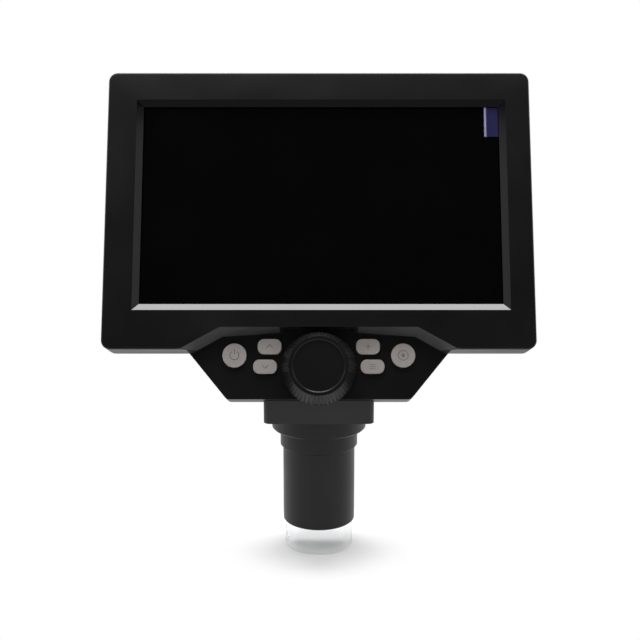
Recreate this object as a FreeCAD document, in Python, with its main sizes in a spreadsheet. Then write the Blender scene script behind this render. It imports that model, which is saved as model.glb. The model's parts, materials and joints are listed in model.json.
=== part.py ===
import FreeCAD, Part
import math
import os
import re
import Sketcher

# Handheld microscope head with a leaning screen, a focus knob and a barrel on a clear tip.
# World frame: +Z up along the barrel axis, X to the right, the screen looks towards -Y,
# origin at the centre of the clear tip's flat bottom. Lengths in millimetres, angles in degrees.
# Display frame: X right, Y up along the bezel, Z out of the bezel, origin on the bezel's face.

SIZES = {
    # Where the display stands over the barrel
    "lean_angle": 21.5,
    "setback": 28.0,
    "screen_rise": 113.2,
    # Case of the display
    "case_width": 185.0,
    "case_top": 110.5,
    "case_bottom": 12.5,
    "case_corner": 4.0,
    "edge_round": 0.8,
    "shell_depth": 9.0,
    "cover_step": 6.0,
    "cover_slope": 4.0,
    "cover_inset": 6.0,
    "wall": 2.0,
    "face_wall": 2.2,
    # Recessed control panel
    "recess_depth": 5.0,
    "recess_edge": 2.9,
    "recess_half": 42.2,
    "recess_angle": 29.0,
    "slope_run": 3.6,
    "slope_run_middle": 0.65,
    "panel_bottom": 33.3,
    "panel_half": 39.2,
    "panel_angle": 50.6,
    "panel_corner": 2.5,
    "recess_bow": 0.003,
    "recess_narrowing": 0.9,
    "relief_top_half": 13.5,
    "relief_foot_half": 16.6,
    "relief_drop": 2.9,
    # Window of the bezel and what lies behind it
    "side_band": 14.5,
    "top_band": 15.3,
    "window_foot": 7.2,
    "window_shift": 1.0,
    "window_bevel": 2.8,
    "bevel_depth": 1.8,
    "gasket_band": 3.6,
    "gasket_thick": 0.5,
    "lcd_margin_side": 4.5,
    "lcd_margin_end": 6.0,
    "glass_thick": 1.4,
    "backlight_thick": 4.0,
    "lcd_gap": 0.05,
    "film_thick": 0.15,
    "film_margin": 0.3,
    "tab_width": 6.0,
    "tab_length": 13.0,
    "tab_thick": 0.3,
    "tab_curl": 0.9,
    # Buttons
    "round_radius": 5.15,
    "round_x": 36.0,
    "round_y": 14.6,
    "pill_length": 10.2,
    "pill_height_upper": 6.6,
    "pill_height_lower": 6.0,
    "pill_x_upper": 21.0,
    "pill_y_upper": 10.8,
    "pill_x_lower": 22.9,
    "pill_y_lower": 19.4,
    "pill_round": 2.7,
    "button_proud": 1.1,
    "button_gap": 0.2,
    "button_edge": 0.25,
    "button_rest_gap": 0.15,
    "button_flange": 0.9,
    "flange_thick": 0.8,
    "stem_radius": 1.6,
    "stem_length": 1.1,
    "button_travel": 0.4,
    "travel_spare": 0.1,
    "switch_side": 5.0,
    "switch_thick": 1.6,
    "board_thick": 1.2,
    "board_gap": 1.2,
    # Knob, shaft and pinion
    "knob_drop": 19.95,
    "knob_radius": 16.1,
    "knob_face_radius": 12.7,
    "knob_height": 9.0,
    "knob_lift": 0.5,
    "knob_dish": 0.5,
    "knob_dish_margin": 1.4,
    "knob_skirt": 1.0,
    "knurl_start": 1.6,
    "knurl_count": 54,
    "knurl_radius": 0.42,
    "hub_depth": 5.5,
    "shaft_radius": 2.5,
    "shaft_tail_radius": 1.2,
    "shaft_neck": 1.8,
    "shaft_play": 0.05,
    "bush_radius": 4.2,
    "bush_length": 4.0,
    "clip_radius": 4.0,
    "clip_thick": 0.8,
    "clip_gap": 0.15,
    "pinion_teeth": 10,
    "gear_module": 0.4,
    "tooth_rise": 0.8,
    "tooth_fall": 1.1,
    "rack_fall": 1.15,
    "tooth_tip_share": 0.45,
    "tooth_root_share": 0.35,
    "tooth_root_cut": 0.9,
    "pinion_width": 4.2,
    "pinion_reach": 26.4,
    "mesh_play": 0.06,
    "bracket_thick": 2.0,
    "bracket_half": 2.3,
    "bracket_gap": 0.9,
    "shaft_passage": 3.4,
    # Neck that carries the barrel
    "neck_half": 23.9,
    "neck_front": 30.0,
    "neck_back": 24.0,
    "neck_bottom": 67.6,
    "neck_roof": 119.3,
    "neck_roof_back": 8.0,
    "neck_shoulder": 100.0,
    "neck_wall": 3.0,
    "neck_floor": 3.4,
    "neck_front_round": 3.0,
    "neck_back_round": 6.0,
    "boss_radius": 3.0,
    "boss_depth": 8.0,
    "boss_x": 19.6,
    "boss_y_low": 22.0,
    "boss_y_high": 6.0,
    # Barrel, its collar and its flange
    "barrel_radius": 16.5,
    "barrel_neck": 16.0,
    "barrel_bore": 14.6,
    "barrel_foot": 12.3,
    "barrel_top": 65.0,
    "barrel_edge": 0.6,
    "collar_radius": 17.7,
    "collar_foot": 48.6,
    "mount_radius": 21.5,
    "mount_foot": 57.1,
    "spigot_radius": 18.0,
    "nut_radius": 20.5,
    "nut_thick": 3.0,
    "seat_gap": 0.03,
    # Lens carrier
    "carrier_play": 0.08,
    "carrier_foot": 26.0,
    "carrier_length": 20.0,
    "carrier_wall": 2.0,
    "front_lens_radius": 6.5,
    "front_lens_thick": 3.0,
    "rear_lens_radius": 5.6,
    "rear_lens_thick": 2.6,
    "retainer_thick": 1.6,
    "lens_stop": 0.8,
    "lens_bulge": 3.0,
    "arm_back": 8.9,
    "arm_depth": 3.9,
    "arm_outer": 6.0,
    "rack_half": 7.6,
    "groove_width": 4.0,
    "groove_depth": 1.6,
    # Camera board
    "camera_floor": 93.4,
    "camera_bracket_thick": 1.5,
    "camera_bracket_front": 6.2,
    "camera_bracket_back": 13.2,
    "camera_hole": 6.0,
    "camera_board_width": 24.0,
    "camera_board_thick": 1.6,
    "camera_board_front": 6.0,
    "camera_board_back": 11.0,
    "sensor_side": 7.0,
    "sensor_thick": 1.0,
    "filter_thick": 0.9,
    # Lamp ring and clear tip
    "tip_radius": 15.5,
    "tip_wall": 1.6,
    "tip_floor": 1.6,
    "tip_spigot": 4.0,
    "tip_edge": 0.6,
    "lamp_board_thick": 1.0,
    "lamp_board_hole": 7.2,
    "lamp_count": 8,
    "lamp_circle": 10.2,
    "lamp_side": 2.2,
    "lamp_thick": 0.9,
    "ribbon_width": 3.0,
    "ribbon_thick": 0.3,
    "ribbon_radius": 13.6,
    # Electronics in the case
    "board_width": 118.0,
    "board_height": 46.0,
    "board_low": 54.0,
    "main_board_thick": 1.6,
    "main_board_level": 9.4,
    "chip_side": 14.0,
    "chip_thick": 1.3,
    "chip_pitch": 30.0,
    "battery_width": 86.0,
    "battery_height": 30.0,
    "battery_low": 18.0,
    "battery_thick": 5.6,
    "port_width": 8.2,
    "port_thick": 2.9,
    "port_depth": 7.0,
    "port_y": 72.0,
    "card_width": 14.0,
    "card_thick": 1.9,
    "card_depth": 15.0,
    "card_y": 90.0,
    "port_margin": 0.3,
    "flex_width": 10.0,
    "cable_hole_width": 14.0,
    "cable_hole_height": 7.0,
    "cable_hole_y": 4.0,
    # Vents and screws of the rear cover
    "vent_count": 9,
    "vent_pitch": 6.0,
    "vent_width": 2.4,
    "vent_height": 22.0,
    "vent_y": 76.0,
    "screw_radius": 1.25,
    "screw_head_radius": 2.4,
    "screw_head_thick": 1.4,
    "screw_length": 7.0,
    "screw_recess": 0.3,
    "case_screw_inset": 8.5,
    "case_screw_low": 6.9,
    "post_gap": 0.6,
    "post_radius": 3.4,
    "panel_screw_x": 46.0,
    "panel_screw_y": 12.0,
    "neck_screw_length": 8.0,
}

doc = FreeCAD.newDocument("lcd_digital_microscope")
sheet = doc.addObject("Spreadsheet::Sheet", "Sizes")
for row, (alias, amount) in enumerate(SIZES.items(), start=1):
    sheet.set(f"A{row}", alias.replace("_", " "))
    sheet.set(f"B{row}", str(amount))
    sheet.setAlias(f"B{row}", alias)
doc.recompute()

nodes = []


def bound(formula):
    """A formula in size names, as an expression on the sheet."""
    words = re.compile(r"[a-z][a-z0-9_]*")
    return words.sub(lambda word: "Sizes." + word[0] if word[0] in SIZES else word[0], str(formula))


def size(name):
    """The number that the sheet holds under a name."""
    return float(getattr(sheet, name))


def keep(item, label):
    """Marks an object as one piece of the assembly."""
    item.Label = label
    nodes.append(item)
    return item


# The tilted frame that the display's pieces are built in
display = doc.addObject("Part::LocalCoordinateSystem", "DisplayFrame")
display.setExpression("Placement", bound(
    "placement(vector(0; -setback; screen_rise); rotation(vector(1; 0; 0); 90 - lean_angle))"))
# The knob's axis, in the display frame
knob_frame = doc.addObject("Part::LocalCoordinateSystem", "KnobFrame")
knob_frame.setExpression("Placement", bound(
    "DisplayFrame.Placement * placement(vector(0; -knob_drop; -recess_depth); rotation(vector(0; 0; 1); 0))"))


def place(item, x=0, y=0, z=0, frame=None, axis="0; 0; 1", turn=0):
    """Puts an object at formulas in a frame."""
    own = f"placement(vector({x}; {y}; {z}); rotation(vector({axis}); {turn}))"
    item.setExpression("Placement", bound(f"{frame}.Placement * {own}" if frame else own))
    return item


def box(name, length, width, height, x, y, z, frame=None):
    """A box whose x and y are its middle and z its underside."""
    item = doc.addObject("Part::Box", name)
    item.setExpression("Length", bound(length))
    item.setExpression("Width", bound(width))
    item.setExpression("Height", bound(height))
    return place(item, f"({x}) - ({length}) / 2", f"({y}) - ({width}) / 2", z, frame)


def rod(name, radius, height, x, y, z, frame=None):
    """A round bar that rises from z."""
    item = doc.addObject("Part::Cylinder", name)
    item.setExpression("Radius", bound(radius))
    item.setExpression("Height", bound(height))
    return place(item, x, y, z, frame)


def cut(name, base, tools):
    """A base with one or more tools taken away."""
    item = doc.addObject("Part::Cut", name)
    item.Base = base
    item.Tool = tools[0] if len(tools) == 1 else fuse(name + "_tools", tools)
    return item


def fuse(name, shapes):
    item = doc.addObject("Part::MultiFuse", name)
    item.Shapes = shapes
    return item


def group(name, shapes):
    """Separate solids in one piece, such as a set of screws."""
    item = doc.addObject("Part::Compound", name)
    item.Links = shapes
    return item


def body(label, frame=None):
    item = doc.addObject("PartDesign::Body", label)
    if frame:
        item.setExpression("Placement", f"{frame}.Placement")
    return item


def sketch(owner, name, plane="XY_Plane", level=None):
    """An empty sketch on one of the body's own planes, lifted by a formula."""
    item = owner.newObject("Sketcher::SketchObject", name)
    support = next(feature for feature in owner.Origin.OriginFeatures if feature.Role == plane)
    item.AttachmentSupport = (support, [""])
    item.MapMode = "FlatFace"
    if level is not None:
        item.setExpression(".AttachmentOffset.Base.z", bound(level))
    return item


def hold(item, kind, geometry, point, name, formula, start):
    """Ties a point's distance from the sketch's origin to a formula."""
    index = item.addConstraint(Sketcher.Constraint(kind, -1, 1, geometry, point, start))
    item.renameConstraint(index, name)
    item.setExpression(f"Constraints.{name}", bound(formula))


def polygon(item, corners):
    """A closed outline through corners given as pairs of formulas."""
    first = item.GeometryCount
    count = len(corners)
    start = [FreeCAD.Vector(math.cos(2 * math.pi * k / count), math.sin(2 * math.pi * k / count), 0)
             for k in range(count)]
    for k in range(count):
        item.addGeometry(Part.LineSegment(start[k], start[(k + 1) % count]), False)
    for k in range(count):
        item.addConstraint(Sketcher.Constraint("Coincident", first + k, 2, first + (k + 1) % count, 1))
    for k, (x, y) in enumerate(corners):
        hold(item, "DistanceX", first + k, 1, f"x{first + k}", x, start[k].x)
        hold(item, "DistanceY", first + k, 1, f"y{first + k}", y, start[k].y)


def rectangle(item, width, height, x="0", y="0"):
    left, right = f"({x}) - ({width}) / 2", f"({x}) + ({width}) / 2"
    low, high = f"({y}) - ({height}) / 2", f"({y}) + ({height}) / 2"
    polygon(item, [(left, low), (right, low), (right, high), (left, high)])


def circle(item, radius, x="0", y="0"):
    index = item.addGeometry(Part.Circle(FreeCAD.Vector(0, 0, 0), FreeCAD.Vector(0, 0, 1), 1), False)
    hold(item, "DistanceX", index, 3, f"x{index}", x, 0)
    hold(item, "DistanceY", index, 3, f"y{index}", y, 0)
    round_size = item.addConstraint(Sketcher.Constraint("Radius", index, 1))
    item.renameConstraint(round_size, f"r{index}")
    item.setExpression(f"Constraints.r{index}", bound(radius))


def pad(owner, name, profile, length, down=False):
    item = owner.newObject("PartDesign::Pad", name)
    item.Profile = profile
    item.setExpression("Length", bound(length))
    item.Reversed = down
    owner.Tip = item
    return item


def pocket(owner, name, profile, length, up=False):
    """Takes a profile away, downwards from its sketch unless told otherwise."""
    before = solid_volume(owner)
    item = owner.newObject("PartDesign::Pocket", name)
    item.Profile = profile
    item.setExpression("Length", bound(length))
    item.Reversed = up
    owner.Tip = item
    if not solid_volume(owner) < before:
        raise ValueError(f"{owner.Label}: {name} cuts nothing")
    return item


def solid_volume(owner):
    doc.recompute()
    return owner.Shape.Volume


def revolve(owner, name, profile):
    """A full turn about the sketch's upright axis."""
    item = owner.newObject("PartDesign::Revolution", name)
    item.Profile = profile
    item.ReferenceAxis = (profile, ["V_Axis"])
    item.Angle = 360.0
    owner.Tip = item
    return item


def turned(label, profile, frame=None):
    """A round piece from half its section, as pairs of radius and height."""
    owner = body(label, frame)
    section = sketch(owner, label + "_section", "XZ_Plane")
    polygon(section, profile)
    revolve(owner, label + "_turn", section)
    return owner


def loft(owner, kind, name, profiles):
    item = owner.newObject(kind, name)
    item.Profile = profiles[0]
    item.Sections = profiles[1:]
    item.Ruled = True
    owner.Tip = item
    return item


def dress(owner, kind, name, picks, amount):
    """Rounds or bevels the edges of the body's last feature that the test picks."""
    doc.recompute()
    base = owner.Tip
    names = [f"Edge{index}" for index, edge in enumerate(base.Shape.Edges, start=1) if picks(edge)]
    if not names:
        raise ValueError(f"{owner.Label}: {name} finds no edge")
    item = owner.newObject(kind, name)
    item.Base = (base, names)
    item.setExpression("Radius" if kind.endswith("Fillet") else "Size", bound(amount))
    owner.Tip = item
    return item


def upright_at(spots, reach=0.05):
    """Picks edges along Z that pass through one of the spots."""
    def picks(edge):
        first, last = edge.Vertexes[0].Point, edge.Vertexes[-1].Point
        level = abs(first.z - last.z) > 0.1 and math.hypot(first.x - last.x, first.y - last.y) < reach
        return level and any(math.hypot(first.x - x, first.y - y) < reach for x, y in spots)
    return picks


def flat_at(level, reach=0.01):
    """Picks edges that lie level at a height."""
    return lambda edge: abs(edge.BoundBox.ZMin - level) < reach and edge.BoundBox.ZLength < reach


# Window and screen, which follow the case's outline through the widths of the bezel's bands
window_width = "(case_width - 2 * side_band)"
window_height = "(case_top - top_band - window_foot)"
window_middle = "((case_top - top_band + window_foot) / 2)"
lcd_width = f"({window_width} + 2 * lcd_margin_side)"
lcd_height = f"({window_height} + 2 * lcd_margin_end)"

# Outline of the case: the display's rectangle with the control panel's trapezoid below it
panel_top_half = "(panel_half + (panel_bottom - case_bottom) / tan(panel_angle))"
panel_inner_half = "(panel_half - wall * tan(panel_angle / 2))"
panel_inner_top = f"({panel_inner_half} + (panel_bottom - case_bottom) / tan(panel_angle))"
recess_end = "(recess_half + (case_bottom - recess_edge) / tan(recess_angle))"


def case_outline(item):
    """The case seen from the front."""
    half = "case_width / 2"
    polygon(item, [
        (f"-{half}", "case_top"), (f"-{half}", "-case_bottom"), (f"-{panel_top_half}", "-case_bottom"),
        ("-panel_half", "-panel_bottom"), ("panel_half", "-panel_bottom"), (panel_top_half, "-case_bottom"),
        (half, "-case_bottom"), (half, "case_top")])


def case_inside(item):
    """The same outline inside the walls."""
    half = "(case_width / 2 - wall)"
    low, top = "-(case_bottom - wall)", "(case_top - wall)"
    polygon(item, [
        (f"-{half}", top), (f"-{half}", low), (f"-{panel_inner_top}", low),
        (f"-{panel_inner_half}", "-(panel_bottom - wall)"), (panel_inner_half, "-(panel_bottom - wall)"),
        (panel_inner_top, low), (half, low), (half, top)])


def case_corners():
    half = size("case_width") / 2
    return [(x, y) for x in (-half, half) for y in (size("case_top"), -size("case_bottom"))]


def panel_corners():
    return [(x, -size("panel_bottom")) for x in (-size("panel_half"), size("panel_half"))]


BUTTONS = {
    "button_round_left": ("-round_x", "-round_y"),
    "button_round_right": ("round_x", "-round_y"),
    "button_upper_left": ("-pill_x_upper", "-pill_y_upper"),
    "button_upper_right": ("pill_x_upper", "-pill_y_upper"),
    "button_lower_left": ("-pill_x_lower", "-pill_y_lower"),
    "button_lower_right": ("pill_x_lower", "-pill_y_lower"),
}


def pill_height(name):
    """The size name of a long button's height."""
    return "pill_height_lower" if "lower" in name else "pill_height_upper"


def button_outline(item, name, grow="0"):
    """A round or a long button's outline, grown on all sides."""
    x, y = BUTTONS[name]
    if "round" in name:
        circle(item, f"round_radius + ({grow})", x, y)
    else:
        rectangle(item, f"pill_length + 2 * ({grow})", f"{pill_height(name)} + 2 * ({grow})", x, y)


def pill_corners(name, grow=0.0):
    """Corners of a long button's rectangle grown on all sides, as numbers."""
    x, y = BUTTONS[name]
    side = -1 if x.startswith("-") else 1
    middle_x, middle_y = side * size(x.lstrip("-")), -size(y.lstrip("-"))
    half_x, half_y = size("pill_length") / 2 + grow, size(pill_height(name)) / 2 + grow
    return [(middle_x + right * half_x, middle_y + up * half_y) for right in (-1, 1) for up in (-1, 1)]


# Front shell: bezel with its bevelled window, recessed panel, button holes and knob bush hole
front = body("front_shell", "DisplayFrame")
front_outline = sketch(front, "front_outline")
case_outline(front_outline)
pad(front, "front_block", front_outline, "shell_depth", down=True)
dress(front, "PartDesign::Fillet", "front_corners", upright_at(case_corners()), "case_corner")
dress(front, "PartDesign::Fillet", "front_panel_corners", upright_at(panel_corners()), "panel_corner")
dress(front, "PartDesign::Fillet", "front_edge", flat_at(0), "edge_round")


def recess_outline(item, edge_middle, edge, half):
    """The recess's edge: a near level top that turns down to both sides past the panel."""
    reach = "(panel_bottom + wall)"
    low = f"({half} + ({reach} - {edge}) / tan(recess_angle))"
    polygon(item, [
        ("0", f"-{edge_middle}"), (f"-{half}", f"-{edge}"), (f"-{low}", f"-{reach}"),
        (low, f"-{reach}"), (half, f"-{edge}")])


recess_top = sketch(front, "recess_top", level="0")
recess_outline(recess_top, "recess_edge - recess_bow", "recess_edge", "recess_half")
recess_floor = sketch(front, "recess_floor", level="-recess_depth")
recess_outline(recess_floor, "(recess_edge + slope_run_middle)", "(recess_edge + slope_run)",
               "(recess_half - recess_narrowing)")
loft(front, "PartDesign::SubtractiveLoft", "recess", [recess_top, recess_floor])
# Upright wall round the knob, which leaves room for fingers
relief = sketch(front, "relief", level="0")
polygon(relief, [
    ("-relief_top_half", "-recess_edge"), ("-relief_foot_half", "-recess_edge - relief_drop"),
    ("relief_foot_half", "-recess_edge - relief_drop"), ("relief_top_half", "-recess_edge")])
pocket(front, "relief_cut", relief, "recess_depth")
hollow = sketch(front, "hollow", level="-shell_depth")
rectangle(hollow, "case_width - 2 * wall", "case_top - wall + (recess_edge - wall)",
          "0", "(case_top - wall - recess_edge + wall) / 2")
pocket(front, "hollow_cut", hollow, "shell_depth - face_wall", up=True)
panel_hollow = sketch(front, "panel_hollow", level="-shell_depth")
case_inside(panel_hollow)
pocket(front, "panel_hollow_cut", panel_hollow, "shell_depth - recess_depth - wall", up=True)
window = sketch(front, "window")
rectangle(window, window_width, window_height, "window_shift", window_middle)
pocket(front, "window_cut", window, "face_wall")
bevel_top = sketch(front, "bevel_top", level="0")
rectangle(bevel_top, f"{window_width} + 2 * window_bevel", f"{window_height} + 2 * window_bevel",
          "window_shift", window_middle)
bevel_floor = sketch(front, "bevel_floor", level="-bevel_depth")
rectangle(bevel_floor, window_width, window_height, "window_shift", window_middle)
loft(front, "PartDesign::SubtractiveLoft", "bevel", [bevel_top, bevel_floor])
for button in BUTTONS:
    hole = sketch(front, button + "_hole", level="-recess_depth")
    button_outline(hole, button, "button_gap")
    pocket(front, button + "_cut", hole, "wall")
bush_hole = sketch(front, "bush_hole", level="-recess_depth")
circle(bush_hole, "bush_radius + seat_gap", "0", "-knob_drop")
pocket(front, "bush_cut", bush_hole, "wall")
hole_ends = []
for button in BUTTONS:
    if "round" not in button:
        hole_ends += pill_corners(button, size("button_gap"))
dress(front, "PartDesign::Fillet", "hole_ends", upright_at(hole_ends), "pill_round + button_gap")

# Posts of the front shell that the case screws bite into
screw_x = "(case_width / 2 - case_screw_inset)"
screw_low = "(case_screw_low - case_bottom)"
screw_high = "(case_top - top_band + lcd_margin_end + post_radius + post_gap)"
CASE_SCREWS = [(x, y) for x in (f"-{screw_x}", screw_x) for y in (screw_low, screw_high)]
PANEL_SCREWS = [(x, "-panel_screw_y") for x in ("-panel_screw_x", "panel_screw_x")]
post_parts = [front]
pilot_parts = []
for number, (x, y) in enumerate(CASE_SCREWS + PANEL_SCREWS, start=1):
    top = "(recess_depth + wall)" if (x, y) in PANEL_SCREWS else "face_wall"
    post_parts.append(rod(f"post_{number}", "post_radius", f"shell_depth - {top}", x, y, "-shell_depth",
                          "DisplayFrame"))
    pilot_parts.append(rod(f"pilot_{number}", "screw_radius", "screw_length - cover_step", x, y,
                           "-shell_depth", "DisplayFrame"))
keep(cut("front_bezel_part", fuse("front_with_posts", post_parts), pilot_parts), "front_bezel")

# Rear cover: a shallow tray with sloping edges, vents, ports and screw seats
rear = body("rear_cover_body", "DisplayFrame")
rear_outline = sketch(rear, "rear_outline", level="-shell_depth")
case_outline(rear_outline)
pad(rear, "rear_block", rear_outline, "cover_step", down=True)
dress(rear, "PartDesign::Fillet", "rear_corners", upright_at(case_corners()), "case_corner")
case_middle = "(case_top - case_bottom) / 2"
slope_levels = ["-(shell_depth + cover_step)", "-(shell_depth + cover_step + cover_slope)"]
slope_sketches = []
for number, inset in enumerate(["case_corner / 4", "cover_inset"]):
    item = sketch(rear, f"slope_{number}", level=slope_levels[number])
    rectangle(item, f"case_width - 2 * ({inset})", f"case_top + case_bottom - 2 * ({inset})",
              "0", case_middle)
    slope_sketches.append(item)
loft(rear, "PartDesign::AdditiveLoft", "rear_slope", slope_sketches)
rear_panel = sketch(rear, "rear_panel", level=slope_levels[0])
polygon(rear_panel, [
    (f"-{panel_top_half}", "-case_bottom"), ("-panel_half", "-panel_bottom"),
    ("panel_half", "-panel_bottom"), (panel_top_half, "-case_bottom"),
    ("panel_half", "-case_bottom + cover_inset + wall"),
    ("-panel_half", "-case_bottom + cover_inset + wall")])
pad(rear, "rear_panel_block", rear_panel, "cover_slope", down=True)
dress(rear, "PartDesign::Fillet", "rear_panel_corners", upright_at(panel_corners()), "panel_corner")
tray = sketch(rear, "tray", level="-shell_depth")
case_inside(tray)
pocket(rear, "tray_cut", tray, "cover_step")
deep_tray = sketch(rear, "deep_tray", level=slope_levels[0])
rectangle(deep_tray, "case_width - 2 * (cover_inset + wall)",
          "case_top + case_bottom - 2 * (cover_inset + wall)", "0", case_middle)
pocket(rear, "deep_tray_cut", deep_tray, "cover_slope - wall")
deep_panel = sketch(rear, "deep_panel", level=slope_levels[0])
rectangle(deep_panel, "2 * (panel_half - wall)", "panel_bottom", "0", "-panel_bottom / 2 + wall")
pocket(rear, "deep_panel_cut", deep_panel, "cover_slope - wall")
cover_back = "(shell_depth + cover_step + cover_slope)"
passage = sketch(rear, "passage", level="-(shell_depth + cover_step)")
circle(passage, "shaft_passage", "0", "-knob_drop")
pocket(rear, "passage_cut", passage, "cover_slope")
cable_hole = sketch(rear, "cable_hole", level="-(shell_depth + cover_step)")
rectangle(cable_hole, "cable_hole_width", "cable_hole_height", "0", "cable_hole_y")
pocket(rear, "cable_cut", cable_hole, "cover_slope")
vents = sketch(rear, "vents", level="-(shell_depth + cover_step)")
for number in range(int(size("vent_count"))):
    rectangle(vents, "vent_width", "vent_height", f"({number} - (vent_count - 1) / 2) * vent_pitch", "vent_y")
pocket(rear, "vent_cut", vents, "cover_slope")

port_level = "(main_board_level + main_board_thick)"
side_cuts = [
    box("port_mouth", "wall * 3", "port_width + 2 * port_margin", "port_thick + 2 * port_margin",
        "case_width / 2", "port_y", f"-({port_level} + port_thick + port_margin)", "DisplayFrame"),
    box("card_mouth", "wall * 3", "card_width + 2 * port_margin", "card_thick + 2 * port_margin",
        "case_width / 2", "card_y", f"-({port_level} + card_thick + port_margin)", "DisplayFrame"),
]
screw_seats = []
column_parts = [rear]
for number, (x, y) in enumerate(CASE_SCREWS + PANEL_SCREWS, start=1):
    column = "cover_step" if y == screw_high else "(cover_step + cover_slope / 2)"
    column_parts.append(rod(f"column_{number}", "post_radius", column, x, y,
                            f"-(shell_depth + {column})", "DisplayFrame"))
    seat = "(shell_depth + cover_step / 2)"
    screw_seats.append(rod(f"seat_{number}", "screw_head_radius + screw_recess", f"{cover_back} - {seat}",
                           x, y, f"-{cover_back}", "DisplayFrame"))
    screw_seats.append(rod(f"clear_{number}", "screw_radius + screw_recess", f"{seat} - shell_depth",
                           x, y, f"-{seat}", "DisplayFrame"))
NECK_SCREWS = [(x, y) for x in ("-boss_x", "boss_x") for y in ("-boss_y_low", "boss_y_high")]
for number, (x, y) in enumerate(NECK_SCREWS, start=1):
    screw_seats.append(rod(f"neck_clear_{number}", "screw_radius + screw_recess", "wall", x, y,
                           f"-{cover_back}", "DisplayFrame"))
keep(cut("rear_cover_part", fuse("rear_with_columns", column_parts), side_cuts + screw_seats), "rear_cover")


def screw_set(label, spots, length, head_top):
    """Pan head screws whose heads look backwards, as separate solids."""
    screws = []
    for number, (x, y) in enumerate(spots, start=1):
        shank = rod(f"{label}_shank_{number}", "screw_radius", length, x, y, head_top, "DisplayFrame")
        head = rod(f"{label}_head_{number}", "screw_head_radius", "screw_head_thick", x, y,
                   f"({head_top}) - screw_head_thick", "DisplayFrame")
        screws.append(fuse(f"{label}_{number}", [shank, head]))
    return keep(group(label + "_set", screws), label)


screw_set("case_screws", CASE_SCREWS + PANEL_SCREWS, "screw_length - cover_step / 2",
          "-(shell_depth + cover_step / 2)")

# Screen stack behind the window
gasket_level = "(face_wall + gasket_thick + lcd_gap)"
glass_level = f"({gasket_level} + glass_thick)"


def plate(label, width, height, thick, level, x="window_shift", y=window_middle):
    return box(label, width, height, thick, x, y, f"-{level}", "DisplayFrame")


gasket_rim = "2 * gasket_band"
gasket_plate = plate("gasket_plate", f"{window_width} + {gasket_rim}", f"{window_height} + {gasket_rim}",
                     "gasket_thick", "(face_wall + gasket_thick)")
gasket_gap = plate("gasket_gap", f"{window_width} + gasket_band / 2", f"{window_height} + gasket_band / 2",
                   "gasket_thick", "(face_wall + gasket_thick)")
keep(cut("screen_gasket_ring", gasket_plate, [gasket_gap]), "screen_gasket")
keep(plate("lcd_glass", lcd_width, lcd_height, "glass_thick", glass_level), "lcd_glass")
keep(plate("lcd_backlight", lcd_width, lcd_height, "backlight_thick",
           f"({glass_level} + backlight_thick)"), "lcd_backlight")

# Protective film with its pull tab, folded back at the upper right corner
film = body("screen_film", "DisplayFrame")
film_sheet = sketch(film, "film_sheet", level=f"-{gasket_level}")
rectangle(film_sheet, f"{window_width} - 2 * film_margin", f"{window_height} - 2 * film_margin",
          "window_shift", window_middle)
pad(film, "film_pad", film_sheet, "film_thick")
tab_right = f"(window_shift + {window_width} / 2 - film_margin)"
tab_top = f"({window_middle} + {window_height} / 2 - film_margin)"
tab_sheet = sketch(film, "tab_sheet", level=f"-{gasket_level}")
rectangle(tab_sheet, "tab_width", "tab_length", f"{tab_right} - tab_width / 2", f"{tab_top} - tab_length / 2")
pad(film, "tab_pad", tab_sheet, "film_thick + tab_thick")
curl = sketch(film, "curl", "XZ_Plane", level=f"-{tab_top}")
circle(curl, "tab_curl / 2", f"{tab_right} - tab_width + tab_curl / 2", f"-{gasket_level} + tab_curl / 2")
pad(film, "curl_pad", curl, "tab_length")
keep(film, "screen_film")

# Push buttons, their board and their switches
pad_level = "(recess_depth + wall + button_rest_gap)"
for button in BUTTONS:
    cap = body(button, "DisplayFrame")
    outline = sketch(cap, button + "_outline", level="-(recess_depth - button_proud)")
    button_outline(outline, button)
    pad(cap, button + "_cap", outline, "button_proud + wall + button_rest_gap", down=True)
    if "round" not in button:
        dress(cap, "PartDesign::Fillet", button + "_ends", upright_at(pill_corners(button)), "pill_round")
    face = size("button_proud") - size("recess_depth")
    dress(cap, "PartDesign::Fillet", button + "_rim", flat_at(face), "button_edge")
    flange = sketch(cap, button + "_flange_outline", level=f"-{pad_level}")
    button_outline(flange, button, "button_flange")
    pad(cap, button + "_flange", flange, "flange_thick", down=True)
    stem = sketch(cap, button + "_stem_outline", level=f"-({pad_level} + flange_thick)")
    circle(stem, "stem_radius", *BUTTONS[button])
    pad(cap, button + "_stem", stem, "stem_length", down=True)
    keep(cap, button)

switch_top = f"({pad_level} + flange_thick + stem_length + button_travel + travel_spare)"
board_front = f"({switch_top} + switch_thick)"
switches = [plate(f"switch_{number}", "switch_side", "switch_side", "switch_thick", board_front, x, y)
            for number, (x, y) in enumerate(BUTTONS.values(), start=1)]
keep(group("tact_switch_set", switches), "tact_switches")
button_board = body("button_board", "DisplayFrame")
board_outline = sketch(button_board, "board_outline", level=f"-{board_front}")
board_half = "(round_x + round_radius + board_gap)"
board_low = "(panel_bottom - wall - board_gap)"
board_top = "(pill_y_upper - pill_height_upper / 2 - board_gap)"
board_foot_half = f"({panel_inner_half} - board_gap)"
polygon(board_outline, [
    (f"-{board_half}", f"-{board_top}"), (f"-{board_half}", "-(round_y + round_radius)"),
    (f"-{board_foot_half} + board_gap", f"-{board_low}"), (f"{board_foot_half} - board_gap", f"-{board_low}"),
    (board_half, "-(round_y + round_radius)"), (board_half, f"-{board_top}")])
pad(button_board, "board_plate", board_outline, "board_thick", down=True)
board_hole = sketch(button_board, "board_hole", level=f"-{board_front}")
circle(board_hole, "clip_radius + board_gap", "0", "-knob_drop")
pocket(button_board, "board_hole_cut", board_hole, "board_thick")
keep(button_board, "button_board")

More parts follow.
